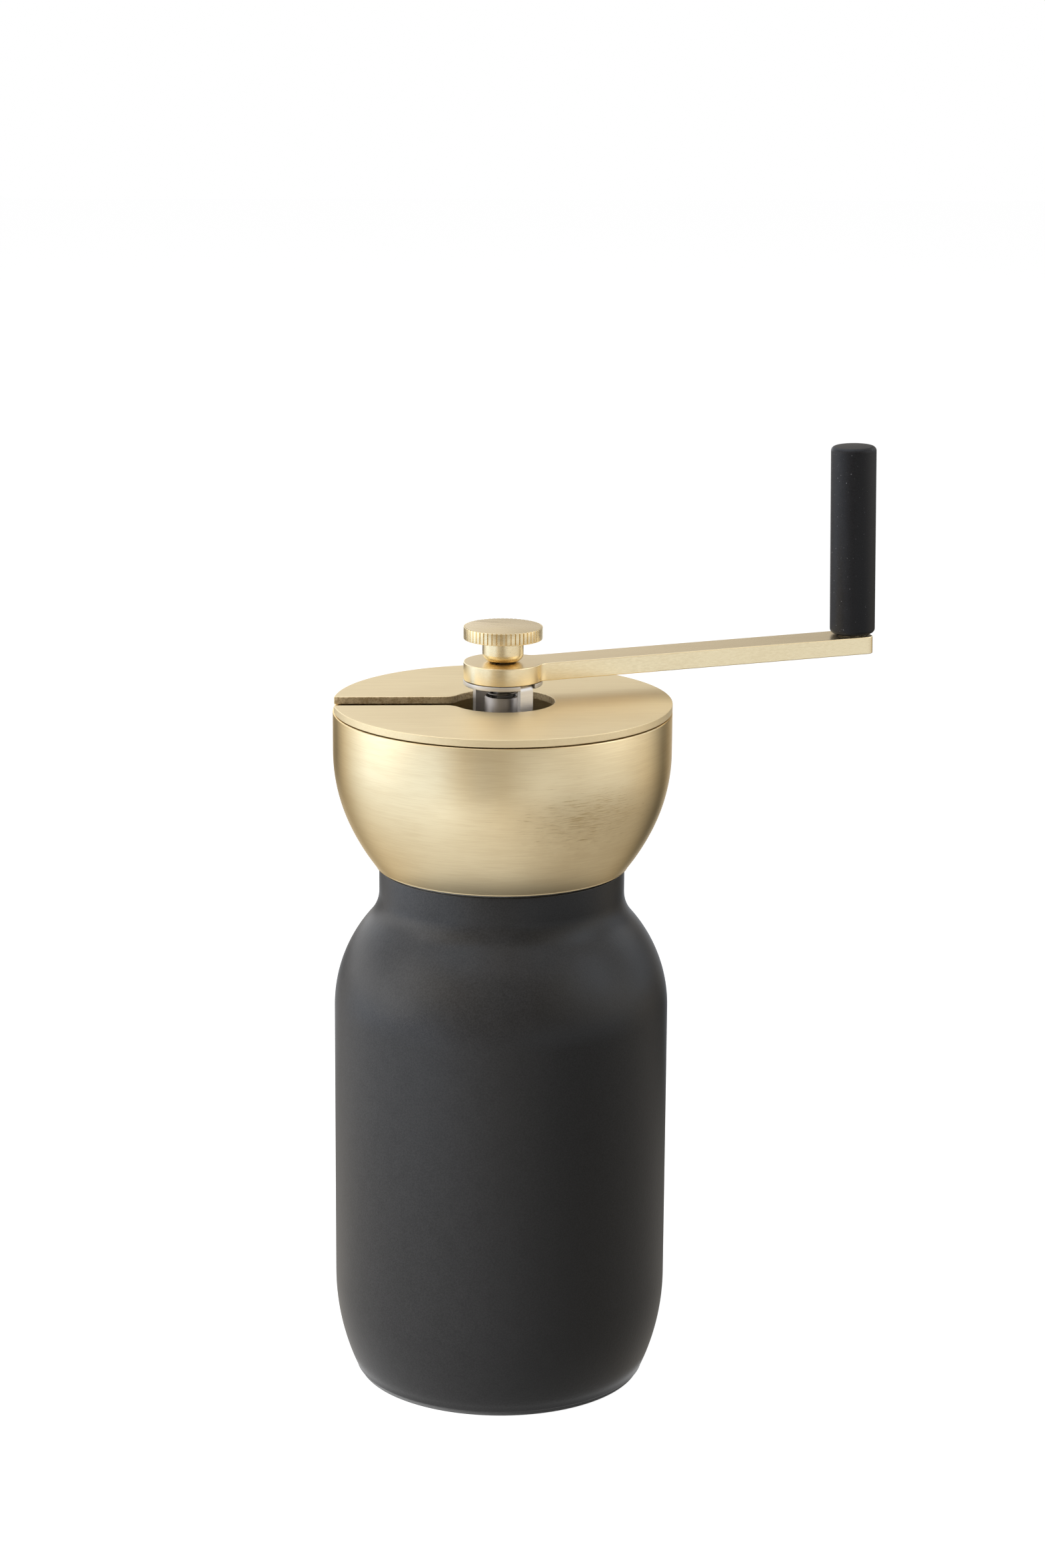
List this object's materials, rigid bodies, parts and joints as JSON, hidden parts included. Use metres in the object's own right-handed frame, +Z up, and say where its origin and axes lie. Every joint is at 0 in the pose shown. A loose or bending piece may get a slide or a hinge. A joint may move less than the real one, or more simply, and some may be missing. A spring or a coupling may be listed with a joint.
{
  "type": "manual coffee grinder",
  "caption": "Hand-cranked conical burr coffee grinder: black steel jar, brass bean bowl with a slotted lid, and a brass crank arm with an upright turning grip.",
  "frame": {"origin": "centre of the foot pad's flat underside, on the axis of the shaft", "axes": "+Z up along the shaft, from the foot to the thumbscrew; -X out of the lid's slot; the crank points 14.85 degrees from +X towards +Y at rest"},
  "size_m": [0.1309, 0.0802, 0.2239],
  "materials": {
    "black_coat": "fine-textured matte black powder coat on steel sheet",
    "brass": "satin, brushed pale gold brass",
    "black_grip": "finely grained matte black coat",
    "steel": "lightly brushed stainless steel",
    "burr_steel": "hardened steel with ground teeth",
    "spring_steel": "bright drawn spring wire",
    "rubber": "matte dark grey rubber",
    "bearing_plastic": "plain off-white bearing plastic"
  },
  "bodies": {
    "jar": {"jar_shell": "black_coat", "foot_pad": "rubber", "neck_insert": "steel"},
    "seal": {"neck_seal": "rubber"},
    "head": {"bowl": "brass", "threaded_collar": "steel", "flange_gasket": "rubber", "burr_housing": "steel", "burr_retainer": "steel", "ring_burr": "burr_steel", "lower_spider": "steel", "lower_bush": "bearing_plastic", "bearing_bridge": "steel", "upper_bush": "bearing_plastic", "bridge_screw_1": "steel", "bridge_screw_2": "steel", "bridge_screw_3": "steel"},
    "lid": {"lid": "brass"},
    "spindle": {"main_shaft": "steel", "inner_burr": "burr_steel", "burr_washer": "steel", "burr_nut": "steel", "burr_spring": "spring_steel", "adjuster_nut": "steel", "thrust_washer": "steel", "lock_spring": "spring_steel"},
    "crank": {"crank_arm": "brass", "lock_plate": "steel", "grip_pin": "steel", "grip_clip": "spring_steel"},
    "knob": {"thumbscrew": "brass"},
    "grip": {"grip_sleeve": "black_grip", "grip_lower_bush": "bearing_plastic", "grip_upper_bush": "bearing_plastic"}
  },
  "joints": [
    {"name": "head_turn", "type": "hinge", "parent": "jar", "child": "seal", "pos_m": [0, 0, 0.1266], "axis": [0, 0, 1], "range_deg": [0, 720]},
    {"name": "head_rise", "type": "slide", "parent": "seal", "child": "head", "axis": [0, 0, 1], "range_m": [0, 0.005]},
    {"name": "lid_lift", "type": "slide", "parent": "head", "child": "lid", "axis": [0, 0, 1], "range_m": [0, 0.0038]},
    {"name": "crank_spin", "type": "hinge", "parent": "head", "child": "spindle", "pos_m": [0, 0, 0.13], "axis": [0, 0, 1], "continuous": true},
    {"name": "arm_lift", "type": "slide", "parent": "spindle", "child": "crank", "axis": [0, 0, 1], "range_m": [0, 0.0024], "deforming": ["lock_spring"]},
    {"name": "knob_turn", "type": "hinge", "parent": "crank", "child": "knob", "pos_m": [0, 0, 0.1764], "axis": [0, 0, 1], "range_deg": [0, 1080]},
    {"name": "grip_spin", "type": "hinge", "parent": "crank", "child": "grip", "pos_m": [0.0854, 0.02264, 0.17794], "axis": [-0.0202, -0.0054, 0.9998], "continuous": true}
  ],
  "couplings": [
    {"joint": "head_turn", "follows": "head_rise", "rad_per_m": 2513.3},
    {"joint": "knob_turn", "follows": "arm_lift", "rad_per_m": 7853.9}
  ]
}
